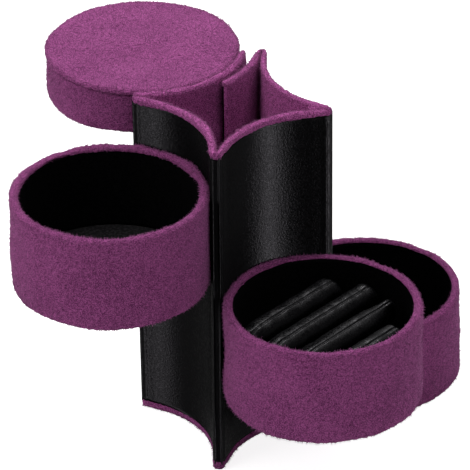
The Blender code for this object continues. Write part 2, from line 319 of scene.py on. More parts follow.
def place(centre, angle, section):
    """Section of (radius, height) pairs, stood up at an angle about a centre."""
    radius, height = section[:, 0], section[:, 1]
    across = [centre[0] + radius * math.cos(angle), centre[1] + radius * math.sin(angle)]
    return np.stack([*across, height], 1)


def push(piece, amount):
    """Moves each vertex along its normal."""
    mesh = piece.data
    places = np.empty(len(mesh.vertices) * 3)
    normals = np.empty(len(mesh.vertices) * 3)
    mesh.vertices.foreach_get("co", places)
    mesh.vertex_normals.foreach_get("vector", normals)
    places = places.reshape(-1, 3) + normals.reshape(-1, 3) * amount[:, None]
    set_vertices(piece, places)


def set_vertices(piece, places):
    """Moves a piece's vertices to places, none of them below the floor."""
    places[:, 2] = np.maximum(places[:, 2], floor_clearance)
    piece.data.vertices.foreach_set("co", places.ravel())
    piece.data.update()


def vertices(piece):
    """Places of a piece's vertices."""
    places = np.empty(len(piece.data.vertices) * 3)
    piece.data.vertices.foreach_get("co", places)
    return places.reshape(-1, 3)


def brush(piece, seed, loose=1.0, speckled=1.0):
    """Uneven pile, over a slack cloth, speckled less where points crowd together."""
    places = vertices(piece)
    speckle = speckled * np.clip(np.random.default_rng(seed).normal(size=len(places)), -2.0, 2.0)
    lift = pile_lift * (0.6 * waves(places, pile_wave, seed) + 0.5 * speckle)
    push(piece, loose * (lift + slack_lift * waves(places, slack_wave, seed + 1)))


# Materials
def new_material(name):
    """Material with its nodes and its shader."""
    made = bpy.data.materials.new(name)
    made.use_nodes = True
    return made, made.node_tree, made.node_tree.nodes["Principled BSDF"]


def add(tree, kind, **settings):
    """Node with its settings."""
    node = tree.nodes.new(kind)
    for name, value in settings.items():
        setattr(node, name, value)
    return node


def noise(tree, scale, detail, vector, roughness=0.5):
    """Noise over a vector, as a value."""
    node = add(tree, "ShaderNodeTexNoise")
    node.inputs["Scale"].default_value = scale
    node.inputs["Detail"].default_value = detail
    node.inputs["Roughness"].default_value = roughness
    tree.links.new(vector, node.inputs["Vector"])
    return node.outputs["Fac"]


def spread(tree, value, low, high, to_low=0.0, to_high=1.0):
    """Value taken from one range to another."""
    node = add(tree, "ShaderNodeMapRange")
    tree.links.new(value, node.inputs["Value"])
    for socket, number in zip(("From Min", "From Max", "To Min", "To Max"), (low, high, to_low, to_high)):
        node.inputs[socket].default_value = number
    return node.outputs["Result"]


def combine(tree, operation, first, second):
    """Sum, product or power of a value and a value or number."""
    node = add(tree, "ShaderNodeMath", operation=operation)
    for socket, source in zip(node.inputs, (first, second)):
        if isinstance(source, (int, float)):
            socket.default_value = source
        else:
            tree.links.new(source, socket)
    return node.outputs["Value"]


def blend_colours(tree, share, first, second):
    """Colour between two, by a share."""
    node = add(tree, "ShaderNodeMix", data_type="RGBA")
    tree.links.new(share, node.inputs["Factor"])
    for socket, colour in ((node.inputs[6], first), (node.inputs[7], second)):
        if isinstance(colour, tuple):
            socket.default_value = (*colour, 1.0)
        else:
            tree.links.new(colour, socket)
    return node.outputs[2]


def stretched(tree, stretch):
    """Object coordinates, stretched."""
    coordinates = add(tree, "ShaderNodeTexCoord")
    mapping = add(tree, "ShaderNodeMapping")
    mapping.inputs["Scale"].default_value = stretch
    tree.links.new(coordinates.outputs["Object"], mapping.inputs["Vector"])
    return mapping.outputs["Vector"]


def roughen(tree, shader, height, strength, distance):
    """Bump from a height."""
    bump = add(tree, "ShaderNodeBump")
    bump.inputs["Strength"].default_value = strength
    bump.inputs["Distance"].default_value = distance
    tree.links.new(height, bump.inputs["Height"])
    tree.links.new(bump.outputs["Normal"], shader.inputs["Normal"])


def suede_material(name, dark, light):
    """Short pile, mottled where it lies in different directions."""
    made, tree, shader = new_material(name)
    where = stretched(tree, (1.0, 1.0, 1.0))
    grain = noise(tree, 1900.0, 2.0, where, 0.80)
    tuft = noise(tree, 520.0, 2.0, where)
    patch = noise(tree, 45.0, 3.0, where)
    mottle = combine(tree, "ADD", combine(tree, "MULTIPLY", grain, 0.82), combine(tree, "MULTIPLY", tuft, 0.10))
    mottle = combine(tree, "ADD", mottle, combine(tree, "MULTIPLY", patch, 0.08))
    share = spread(tree, mottle, 0.43, 0.57)
    tree.links.new(blend_colours(tree, share, dark, light), shader.inputs["Base Color"])
    shader.inputs["Roughness"].default_value = 0.95
    shader.inputs["Specular IOR Level"].default_value = 0.10
    shader.inputs["Sheen Weight"].default_value = 0.16
    shader.inputs["Sheen Roughness"].default_value = 0.40
    shader.inputs["Sheen Tint"].default_value = (0.80, 0.38, 0.70, 1.0)
    roughen(tree, shader, mottle, 0.7, 0.0006)
    return made


def satin_material(name, dark, light, roughness, vary, level, relief, stretch=0.0):
    """Woven satin: fine upright threads that catch the light in grains.

    A stretched gloss is drawn out along the threads, as on a vertical brushed face.
    """
    made, tree, shader = new_material(name)
    threads = noise(tree, 1.0, 2.0, stretched(tree, (1400.0, 1400.0, 1300.0)), 0.65)
    grains = noise(tree, 1000.0, 1.0, stretched(tree, (1.0, 1.0, 0.8)), 0.7)
    folds = noise(tree, 60.0, 2.0, stretched(tree, (1.0, 1.0, 0.25)))
    weave = combine(tree, "ADD", combine(tree, "MULTIPLY", threads, 0.45), combine(tree, "MULTIPLY", grains, 0.55))
    share = spread(tree, weave, 0.38, 0.62)
    tree.links.new(blend_colours(tree, share, dark, light), shader.inputs["Base Color"])
    gloss = spread(tree, weave, 0.40, 0.60, roughness - vary, roughness + vary)
    tree.links.new(gloss, shader.inputs["Roughness"])
    shader.inputs["Specular IOR Level"].default_value = level
    shader.inputs["Specular Tint"].default_value = (0.96, 0.91, 1.0, 1.0)
    if stretch:
        shader.inputs["Anisotropic"].default_value = stretch
        shader.inputs["Anisotropic Rotation"].default_value = 0.25
        around = add(tree, "ShaderNodeTangent", direction_type="RADIAL", axis="Z")
        tree.links.new(around.outputs["Tangent"], shader.inputs["Tangent"])
    height = combine(tree, "ADD", combine(tree, "MULTIPLY", weave, 0.30), combine(tree, "MULTIPLY", folds, 0.35))
    roughen(tree, shader, height, relief, 0.0010)
    return made


def flock_material(name):
    """Flocked card with a fine dotted pile."""
    made, tree, shader = new_material(name)
    where = stretched(tree, (1.0, 1.0, 1.0))
    dots = add(tree, "ShaderNodeTexVoronoi")
    dots.inputs["Scale"].default_value = 700.0
    tree.links.new(where, dots.inputs["Vector"])
    share = spread(tree, dots.outputs["Distance"], 0.15, 0.65)
    tree.links.new(blend_colours(tree, share, (0.022, 0.020, 0.022), (0.003, 0.0027, 0.0033)), shader.inputs["Base Color"])
    shader.inputs["Roughness"].default_value = 0.95
    shader.inputs["Specular IOR Level"].default_value = 0.2
    roughen(tree, shader, share, -0.6, 0.0004)
    return made


def board_material(name):
    """Pressed grey card with flecks and pressed layers."""
    made, tree, shader = new_material(name)
    flecks = noise(tree, 900.0, 3.0, stretched(tree, (1.0, 1.0, 1.0)), 0.7)
    cloud = noise(tree, 60.0, 3.0, stretched(tree, (1.0, 1.0, 1.0)))
    value = combine(tree, "ADD", combine(tree, "MULTIPLY", flecks, 0.6), combine(tree, "MULTIPLY", cloud, 0.4))
    share = spread(tree, value, 0.35, 0.65)
    tree.links.new(blend_colours(tree, share, (0.21, 0.19, 0.16), (0.37, 0.35, 0.31)), shader.inputs["Base Color"])
    shader.inputs["Roughness"].default_value = 0.9
    roughen(tree, shader, flecks, 0.3, 0.0002)
    return made


def metal_material(name, dark, light, roughness):
    """Turned metal with fine rings of scratches."""
    made, tree, shader = new_material(name)
    scratches = noise(tree, 1.0, 2.0, stretched(tree, (300.0, 300.0, 6000.0)))
    share = spread(tree, scratches, 0.35, 0.65)
    tree.links.new(blend_colours(tree, share, dark, light), shader.inputs["Base Color"])
    tree.links.new(spread(tree, scratches, 0.3, 0.7, roughness, roughness + 0.15), shader.inputs["Roughness"])
    shader.inputs["Metallic"].default_value = 1.0
    roughen(tree, shader, scratches, 0.15, 0.0001)
    return made


looks = {
    "purple_suede": suede_material("purple_suede", (0.094, 0.015, 0.069), (0.374, 0.091, 0.276)),
    # panel_suede is a lighter copy of purple_suede that stands in for more light on the panels, their beads and the
    # faces inside the star: painted light
    "panel_suede": suede_material("panel_suede", (0.128, 0.021, 0.093), (0.525, 0.130, 0.388)),
    # nap is a lighter copy of the suede for the loose fibres. The fibres are real, but their lighter colour stands in
    # for the light that the fuzz catches on rims and beads: painted sheen
    "nap": suede_material("nap", (0.200, 0.050, 0.155), (0.500, 0.170, 0.390)),
    "black_satin": satin_material("black_satin", (0.00002, 0.00002, 0.00002), (0.00020, 0.00019, 0.00022), 0.55, 0.16, 0.021, 0.9, 1.0),
    "roll_satin": satin_material("roll_satin", (0.0001, 0.0001, 0.0002), (0.0008, 0.0008, 0.0009), 0.35, 0.14, 0.024, 0.50),
    "tub_satin": satin_material("tub_satin", (0.0010, 0.0010, 0.0011), (0.0034, 0.0033, 0.0036), 0.55, 0.10, 0.01, 0.6),
    "grey_board": board_material("grey_board"),
    "black_flock": flock_material("black_flock"),
    "keeper_steel": metal_material("keeper_steel", (0.50, 0.50, 0.51), (0.60, 0.60, 0.61), 0.30),
    "magnet_nickel": metal_material("magnet_nickel", (0.56, 0.54, 0.51), (0.68, 0.66, 0.62), 0.20),
}
for row in frame["record"]["subparts"]:
    node_materials = frame["nodes"][row["node"]].data.materials
    node_materials.clear()
    node_materials.append(looks[row["material_slot"]])


# Loose fibres
def sliver_faces(count):
    """Faces of a number of three-sided slivers, each of three foot points and a tip."""
    first = 4 * np.arange(count)[:, None]
    around = np.array([[0, 1, 3], [1, 2, 3], [2, 0, 3], [2, 1, 0]])
    return (first[:, :, None] + around[None]).reshape(-1, 3).tolist()


def rooted(cover, fibres, source):
    """Seeded places on a swept cover and the normals there, as thick as each section point says."""
    places = vertices(cover)
    normals = np.empty(len(places) * 3)
    cover.data.vertex_normals.foreach_get("vector", normals)
    columns = fibres.shape[-1]
    rows = len(places) // columns
    fibres = np.broadcast_to(fibres, (rows, columns))
    places = places[: rows * columns].reshape(rows, columns, 3)
    normals = normals.reshape(-1, 3)[: rows * columns].reshape(rows, columns, 3)
    step_down = places[1:, :-1] - places[:-1, :-1]
    step_along = places[:-1, 1:] - places[:-1, :-1]
    area = np.linalg.norm(np.cross(step_down, step_along), axis=2)
    carried = source.poisson(area * np.minimum(fibres[:-1, :-1], fibres[1:, 1:]))
    row, column = (index.repeat(carried.ravel()) for index in np.indices(carried.shape).reshape(2, -1))
    down, along = source.uniform(size=(2, len(row), 1))
    root = (1 - down) * (1 - along) * places[row, column] + down * (1 - along) * places[row + 1, column]
    root += (1 - down) * along * places[row, column + 1] + down * along * places[row + 1, column + 1]
    return root, normals[row, column]


def nap(name, body, covers, seed):
    """Loose fibres of the covers on a body, each a closed sliver."""
    source = np.random.default_rng(seed)
    grown = [rooted(cover, fibres, source) for cover, fibres in covers]
    root, normal = (np.concatenate(part) for part in zip(*grown))
    count = len(root)
    across = np.cross(normal, source.normal(size=(count, 3)))
    across /= np.linalg.norm(across, axis=1)[:, None]
    side = np.cross(normal, across)
    lean = source.uniform(*fibre_lean, size=(count, 1))
    length = source.uniform(*fibre_length, size=(count, 1))
    corners = [
        root + fibre_width * (across * math.cos(turn) + side * math.sin(turn)) - normal * fibre_width
        for turn in (0.0, math.tau / 3, 2 * math.tau / 3)
    ]
    tip = root + length * (normal * np.cos(lean) + across * np.sin(lean))
    points = np.stack([*corners, tip], 1).reshape(-1, 3)
    points[:, 2] = np.maximum(points[:, 2], floor_clearance)
    # The fibres take the lighter nap copy of the suede: painted sheen
    made = mesh_piece(name, points, sliver_faces(count), looks["nap"])
    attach(made, body)


# Panels
def fold_angle(centre, fold, middle):
    """Direction from a panel's centre to a fold's axis."""
    return near_turn(angle_to(centre, fold_axes[fold]), middle)


def panel_reach(node, centre, start_fold, end_fold):
    """Angles where a panel's cloth starts and ends, at its folds or its free edge."""
    radius, angle = polar_about(centre, node_points(node))
    middle = math.atan2(np.sin(angle).mean(), np.cos(angle).mean())
    angle = near_turn(angle, middle)
    outer = radius.max()
    start, end = angle.min(), angle.max()
    if start_fold is not None:
        start = fold_angle(centre, start_fold, middle) - tip_reach[start_fold] / outer
    if end_fold is not None:
        end = fold_angle(centre, end_fold, middle) + tip_reach[end_fold] / outer
    return start, end


def stations(start, end, radius, start_fold, end_fold):
    """Angles along a panel, and how far each has turned round the panel's end, 0 to 1."""
    angles, turns = [], []
    lengths = [fold_length.get(fold, free_round) for fold in (start_fold, end_fold)]
    quarter = np.linspace(0.0, math.pi / 2, fold_steps + 1)
    for share in reversed(quarter[1:]):
        angles.append(start + lengths[0] * (1.0 - math.sin(share)) / radius)
        turns.append(share / quarter[-1])
    inner_start = start + lengths[0] / radius
    inner_end = end - lengths[1] / radius
    count = math.ceil((inner_end - inner_start) * radius / cell)
    for share in np.linspace(0.0, 1.0, count + 1):
        angles.append(inner_start + (inner_end - inner_start) * share)
        turns.append(0.0)
    for share in quarter[1:]:
        angles.append(end - lengths[1] * (1.0 - math.sin(share)) / radius)
        turns.append(share / quarter[-1])
    return angles, turns


def cover_section(inner, outer, low, high, lip_up):
    """Loop round a panel's suede: face, rounded top, lip on the satin side, and back inside."""
    middle, half = (inner + outer) / 2, (outer - inner) / 2
    bead = bead_height * min(1.0, half / bead_height)
    skin = min(suede_skin, 0.7 * half)
    lip = min(lip_depth, 0.5 * half)
    lip_round = min(0.0004, lip)
    heights = np.linspace(low + bead, high - bead, 150)
    top_lip = high - bead_wrap + lip_up
    low_lip = low + foot_wrap - lip_up
    return outlined(
        (np.stack([np.full(149, outer), heights[:-1]], 1), face_fibres),
        (bend((middle, high - bead), half, bead, 0.0, 180.0, 10), edge_fibres),
        ([(inner, top_lip + lip_round), (inner + 0.4 * lip_round, top_lip), (inner + lip, top_lip + 0.0002)], 0.0),
        ([(inner + lip, high - skin), (outer - skin, high - skin)], 0.0),
        ([(outer - skin, low + skin), (inner + lip, low + skin)], 0.0),
        ([(inner + lip, low_lip - 0.0002), (inner + 0.4 * lip_round, low_lip), (inner, low_lip - lip_round)], 0.0),
        (bend((middle, low + bead), half, bead, 180.0, 360.0, 10)[:-1], edge_fibres),
    )


def panel_cloth(tier, body, centre, start_fold, end_fold):
    """Suede cover and satin lining of one panel."""
    node = tier + "_suede"
    radius, _ = polar_about(centre, node_points(node))
    inner, outer = radius.min() + thinned.get(tier, 0.0), radius.max()
    low_corner, high_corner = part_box(node)
    low, high = low_corner.z, high_corner.z
    start, end = panel_reach(node, centre, start_fold, end_fold)
    angles, turns = stations(start, end, outer, start_fold, end_fold)
    cover, lining, carried, loose = [], [], [], []
    for number, (angle, turned) in enumerate(zip(angles, turns)):
        share = max(math.cos(turned * math.pi / 2), least_share)
        at_start = number < len(angles) / 2
        fold = start_fold if at_start else end_fold
        away = (angle - start if at_start else end - angle) * outer
        pinch = 0.0 if fold is None else tip_pinch * (1.0 - float(step(np.array(away), 0.0, tip_pinch_length)))
        apex = outer - apex_share.get(fold, free_apex) * (outer - inner - pinch)
        inside = apex - (apex - inner - pinch) * share
        outside = apex + (outer - apex) * share
        drop = 0.0 if fold is None else tip_drop * (1.0 - share)
        lip_up = 0.0 if fold is None else lip_rise * (1.0 - share)
        section, fibres = cover_section(inside, outside, low + drop, high - drop, lip_up)
        rows = np.linspace(low + foot_wrap - lip_up - 0.0003, high - bead_wrap + lip_up + 0.0003, 90)
        cover.append(place(centre, angle, section))
        beads = fibres > face_fibres
        carried.append(fibres * (beads | (turned == 0.0)))
        loose.append(np.where(beads | (turned == 0.0), 1.0, calm))
        ridge = 0.0
        if fold is not None:
            ridge = ridge_height * float(bell(np.array(away - ridge_place), ridge_width))
        face = inside + satin_recess * share - ridge
        front = np.stack([np.full(90, face), rows], 1)
        back = np.stack([np.full(2, inside + lip_depth * share + satin_skin + 0.0001), rows[[-1, 0]]], 1)
        lining.append(place(centre, angle, np.concatenate([front, back])))
    # The panel covers take the lighter copy of the suede: painted light
    suede = swept(tier + "_cover", np.array(cover), looks["panel_suede"])
    brush(suede, len(tier) + 7, np.concatenate(loose))
    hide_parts(node)
    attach(suede, body)
    satin = swept(tier + "_satin", np.array(lining), looks["black_satin"])
    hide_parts(tier + "_lining")
    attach(satin, body)
    for fold in (start_fold, end_fold):
        lean_in(suede, fold)
        lean_in(satin, fold)
    panel_satin.append(satin)
    covers[body].append((suede, np.array(carried)))


def panel_board(tier, body, centre, start_fold, end_fold):
    """Curved card inside a panel, clear of the cloth that bends at its folds."""
    node = tier + "_board"
    points = node_points(node)
    radius, angle = polar_about(centre, points)
    middle = math.atan2(np.sin(angle).mean(), np.cos(angle).mean())
    angle = near_turn(angle, middle)
    start, end = angle.min(), angle.max()
    if start_fold is not None:
        start = max(start, fold_angle(centre, start_fold, middle) + board_clear / radius.max())
    if end_fold is not None:
        end = min(end, fold_angle(centre, end_fold, middle) - board_clear / radius.max())
    inner, outer = radius.min() + thinned.get(tier, 0.0), radius.max()
    low, high = points[:, 2].min(), points[:, 2].max()
    loop = np.array([(inner, low), (outer, low), (outer, high), (inner, high)])
    count = math.ceil((end - start) * outer / (2 * cell))
    sections = [place(centre, turn, loop) for turn in np.linspace(start, end, count + 1)]
    made = swept(tier + "_card", np.array(sections), looks["grey_board"])
    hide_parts(node)
    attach(made, body)


def lean_in(piece, fold):
    """Leans the cloth near a fold inwards or outwards, most at its foot."""
    if fold not in fold_lean:
        return
    axis = fold_axes[fold]
    inwards = (star_centre - axis) / np.linalg.norm(star_centre - axis)
    places = vertices(piece)
    near = 1.0 - step(np.hypot(*(places[:, :2] - axis).T), *lean_spread)
    height = frame_height
    places[:, :2] += (fold_lean[fold] * near * (1.0 - places[:, 2] / height))[:, None] * inwards
    set_vertices(piece, places)


def fold_cloth(fold, parent_panel, child_panel):
    """Suede strip, satin web and end caps across a fold."""
    axis = fold_axes[fold]
    gaps = []
    for centre, panel in (parent_panel, child_panel):
        radius, _ = polar_about(centre, node_points(panel + "_suede"))
        gaps.append(np.linalg.norm(axis - centre) - radius.max())
    across = (parent_panel[0] - axis) / np.linalg.norm(parent_panel[0] - axis)
    out = np.array([-across[1], across[0]])
    out = out * math.copysign(1.0, out @ (axis - star_centre))
    seat = axis + across * (gaps[0] - gaps[1]) / 2
    reach = tip_reach[fold]
    strip = fold + "_strip"
    low_corner, high_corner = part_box(parent_panel[1] + "_suede")
    low, high = low_corner.z, high_corner.z

    def bent(name, outline, heights, sizes, look):
        plan = np.asarray(outline)
        middle = np.array([reach - cap_depth, 0.0])
        sections = []
        for height, size in zip(heights, sizes):
            points = middle + (plan - middle) * size
            spot = seat + points[:, :1] * out + points[:, 1:] * across
            sections.append(np.column_stack([spot, np.full(len(plan), height)]))
        made = swept(name, np.stack(sections), look)
        lean_in(made, fold)
        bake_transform(made)
        return made

    turn = np.linspace(0.0, math.pi, strip_steps + 1)
    base = reach - strip_depth
    thick = strip_round + strip_skin
    tail = base - fold_length[fold]
    outline = [(tail, thick)]
    outline += [(base + thick * math.sin(a), thick * math.cos(a)) for a in turn]
    outline += [(tail, -thick), (tail, -strip_round)]
    outline += [(base + strip_round * math.sin(a), strip_round * math.cos(a)) for a in turn[::-1]]
    outline += [(tail, strip_round)]
    heights = np.linspace(low + strip_low, high - strip_low - bead_height, strip_rows)
    suede = bent(fold + "_suede", outline, heights, np.ones(strip_rows), looks["purple_suede"])
    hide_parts(strip)

    side = np.linspace(web_half, -web_half, 2 * strip_steps + 1)
    rise = web_proud * bell(np.abs(side) - web_ridge, web_ridge_width)
    turned = web_turn * step(np.abs(side), web_ridge + 0.0002, web_half)
    face = reach + web_base + rise - turned
    outline = [*zip(face, side), *zip(face[::-1] - strip_skin, side[::-1])]
    heights = np.linspace(low + foot_wrap - 0.0008, high - bead_wrap + 0.0008, strip_rows)
    web = bent(fold + "_satin", outline, heights, np.ones(strip_rows), looks["black_satin"])
    panel_satin.append(web)

    wide = cap_half[fold]
    outline = [(reach - cap_depth + (cap_depth + cap_proud) * math.sin(a), wide * math.cos(a)) for a in turn]
    outline += [(reach - 1.6 * cap_depth, -0.8 * wide), (reach - 1.6 * cap_depth, 0.8 * wide)]
    rise = np.linspace(0.0, 1.0, 7)
    sizes = np.concatenate([[0.86, 1.0], np.sqrt(1.0 - (0.98 * rise) ** 2)])
    for name, wrap, foot, side in (("_cap_top", bead_wrap, high, -1.0), ("_cap_foot", foot_wrap, low, 1.0)):
        lifts = np.concatenate([[wrap + cap_reach, wrap - cap_rise], bead_height - (cap_lift + bead_height) * rise])
        bent(fold + name, outline, foot + side * lifts, sizes, looks["purple_suede"])


# Tubs
camera_turn = math.radians(camera_azimuth_degrees)
camera_right_plan = np.array([math.cos(camera_turn), math.sin(camera_turn)])


def lip_turn(wrap):
    """Degrees by which a rim's bend stops short, where its lip is shorter than the bend is high."""
    return math.degrees(math.asin(max(0.0, 1.0 - wrap / rim_height)))


def tub_cover(tier, body, lap_degrees, lap_height, notch_degrees, hem_drop=0.0):
    """Suede over a tub's wall, rim and bottom edge, with the lap where it meets its panel."""
    node = tier + "_tub_suede"
    points = node_points(node)
    radius, _ = polar_about(plan_centre(node), points)
    centre = plan_centre(node) + tub_shift[tier] * camera_right_plan
    wrap = rim_wrap[tier]
    outer, inner = radius.max(), radius.min() - rim_bulge
    low, top = points[:, 2].min() - hem_drop, points[:, 2].max() + rim_rise
    middle, half = (inner + outer) / 2, (outer - inner) / 2
    hem = outer - hem_width
    section, fibres = outlined(
        (run((hem, low), (outer - hem_round, low), cell), 0.0),
        (bend((outer - hem_round, low + hem_round), hem_round, hem_round, -90.0, 0.0, 3), edge_fibres),
        (run((outer, low + hem_round + cell), (outer, top - rim_height), cell), face_fibres),
        (bend((middle, top - rim_height), half, rim_height, 0.0, 180.0 - lip_turn(wrap), 10), edge_fibres),
        ([(inner, top - wrap), (inner + lip_depth, top - wrap), (inner + lip_depth, top - suede_skin)], 0.0),
        ([(outer - suede_skin, top - suede_skin), (outer - suede_skin, low + suede_skin), (hem, low + suede_skin)], 0.0),
    )
    count = math.ceil(math.tau * outer / cell)
    turns = math.tau * np.arange(count) / count
    start, end = (math.radians(value) for value in lap_degrees)
    local = near_turn(turns, (start + end) / 2)
    lap = step(local, start - 0.10, start + 0.04) * (1.0 - step(local, end - 0.015, end + 0.015))
    away = outer * (near_turn(turns, math.radians(notch_degrees)) - math.radians(notch_degrees))
    raised = lap_height * lap - rim_notch_depth * bell(away, rim_notch_width)
    circle = np.column_stack([np.cos(turns), np.sin(turns), np.zeros(count)]) * outer
    raised += rim_wobble * waves(circle, rim_wobble_wave, len(tier))
    sections = []
    for turn, lift, lapped in zip(turns, raised, lap):
        shaped = section.copy()
        inside = shaped[:, 0] < middle
        lip = inside & (shaped[:, 1] < top - wrap + suede_skin)
        shaped[:, 1] += lift * step(section[:, 1], top - 3 * rim_height, top)
        shaped[lip, 1] -= lap_wrap * lapped
        shaped[inside, 0] -= lap_inwards * lapped
        sections.append(place(centre, turn, shaped))
    made = swept(tier + "_tub_cover", np.array(sections), looks["purple_suede"], closed=True)
    brush(made, len(tier) + 31)
    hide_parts(node)
    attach(made, body)
    covers[body].append((made, fibres))


def tub_card(tier, body):
    """Rolled card inside a tub's wall."""
    node = tier + "_tub_wall"
    radius, _ = polar_about(plan_centre(node), node_points(node))
    centre = plan_centre(node) + tub_shift[tier] * camera_right_plan
    low_corner, high_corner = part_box(node)
    low, high = low_corner.z, high_corner.z
    loop = np.array([(radius.min(), low), (radius.max(), low), (radius.max(), high), (radius.min(), high)])
    turns = math.tau * np.arange(card_sides) / card_sides
    sections = np.array([place(centre, turn, loop) for turn in turns])
    made = swept(tier + "_tub_card", sections, looks["grey_board"], closed=True)
    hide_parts(node)
    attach(made, body)


def tub_lining(tier, body, seam_degrees):
    """Satin inside a tub, up under its rim, lapped at one upright seam."""
    node = tier + "_tub_lining"
    radius, _ = polar_about(plan_centre(node), node_points(node))
    centre = plan_centre(node) + tub_shift[tier] * camera_right_plan
    low_corner, high_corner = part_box(node)
    inner, outer = radius.min(), radius.max()
    low, high = low_corner.z, high_corner.z
    rows = np.linspace(low, high, 24)
    edge = high + lining_reach - rim_wrap[tier]
    seam = math.radians(seam_degrees)
    count = 240
    sections = []
    for number in range(count):
        angle = math.tau * number / count
        away = inner * (near_turn(angle, seam) - seam)
        face = inner - 0.00035 * float(step(-away, -0.0012, 0.0) * (1.0 - step(-away, 0.008, 0.014)))
        loop = np.concatenate([
            np.stack([np.full(24, face), rows], 1),
            [(inner + satin_skin, edge), (outer, edge), (outer, low)],
        ])
        sections.append(place(centre, angle, loop))
    made = swept(tier + "_tub_satin", np.array(sections), looks["tub_satin"], closed=True)
    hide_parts(node)
    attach(made, body)


# Ring cushion
def ring_bed(body):
    """Crowned satin pad that fills the tub under the rolls."""
    node = "ring_bed"
    centre = plan_centre(node) + tub_shift["middle"] * camera_right_plan
    low_corner, high_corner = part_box(node)
    radius = (high_corner.x - low_corner.x) / 2
    low, high = low_corner.z, high_corner.z
    rings = [(radius, low), (radius, high - 0.004)]
    rings += [tuple(p) for p in bend((radius - 0.005, high - 0.004), 0.005, 0.003, 0.0, 90.0, 6)[1:]]
    rings += [(radius * share, high - 0.001 * share**2) for share in (0.8, 0.7, 0.6, 0.5, 0.4, 0.3, 0.2, 0.1, 0.03)]
    rings += [(radius * 0.03, low)]
    count = 120
    sections = np.array([place(centre, math.tau * n / count, np.array(rings)) for n in range(count)])
    made = swept("ring_bed_pad", sections, looks["roll_satin"], closed=True)
    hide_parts(node)
    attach(made, body)


def ring_roll(number, body, crease, taper):
    """Stuffed satin roll, creased along its top, tucked under the near rim and cut square at its far end."""
    node = "ring_roll_" + str(number)
    points = node_points(node)
    middle = (points.max(0) + points.min(0)) / 2
    flat = points[:, :2] - middle[:2]
    along = np.linalg.svd(flat - flat.mean(0), full_matrices=False)[2][0]
    along = along * math.copysign(1.0, along[1])
    across = np.array([-along[1], along[0]])
    half_length = np.abs(flat @ along).max()
    half_width = np.abs(flat @ across).max()
    low, high = points[:, 2].min(), points[:, 2].max()
    tall = (high - low) / 2
    tub_middle = plan_centre("ring_bed")
    radius, _ = polar_about(tub_middle, node_points("ring_bed"))
    wall = radius.max() - 0.001
    start = (tub_middle - middle[:2]) @ along
    beside = (middle[:2] - tub_middle) @ across
    roll_shift = tub_shift["middle"] * camera_right_plan
    sides = 110
    turn = math.tau * np.arange(sides) / sides
    sections = []
    for share in np.linspace(0.0, 1.0, 72):
        far_close = math.sqrt(1.0 - float(np.clip((share - 0.955) / 0.045, 0.0, 1.0)) ** 3.0)
        near_close = math.sqrt(1.0 - float(np.clip((0.06 - share) / 0.06, 0.0, 1.0)) ** 2.0)
        close = max(0.02, min(far_close, near_close))
        width = half_width * (0.35 + 0.65 * close) * (1.0 - taper * float(step(np.array(share), 0.68, 1.0)))
        height = tall * (0.45 + 0.55 * close)
        x = np.sign(np.cos(turn)) * np.abs(np.cos(turn)) ** 0.95 * width
        z = np.sign(np.sin(turn)) * np.abs(np.sin(turn)) ** 0.90 * height
        crown = step(np.sin(turn), 0.2, 0.9)
        z = z - crown * crease_depth * bell(x - crease * half_width, crease_width) * close
        z = z - near_sag * (1.0 - float(step(np.array(share), 0.0, 0.22)))
        near = start - np.sqrt(wall**2 - np.minimum(np.abs(beside + x), 0.98 * wall) ** 2)
        near = np.maximum(near, -half_length - near_tuck)
        at = near + (half_length - near) * share
        plan = middle[:2] + at[:, None] * along + x[:, None] * across
        sections.append(np.column_stack([plan + roll_shift, low + tall + roll_lift + np.clip(z, -tall, tall)]))
    made = swept("ring_roll_cushion_" + str(number), np.array(sections), looks["roll_satin"])
    places = vertices(made)
    puckers = waves(places * np.array([1.0, 1.0, 0.4]), 0.008, 50 + number)
    ends = step(np.abs((places[:, :2] - middle[:2]) @ along), 0.65 * half_length, half_length)
    push(made, 0.00016 * puckers * (0.6 + ends))
    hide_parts(node)
    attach(made, body)
    roll_satin.append(made)


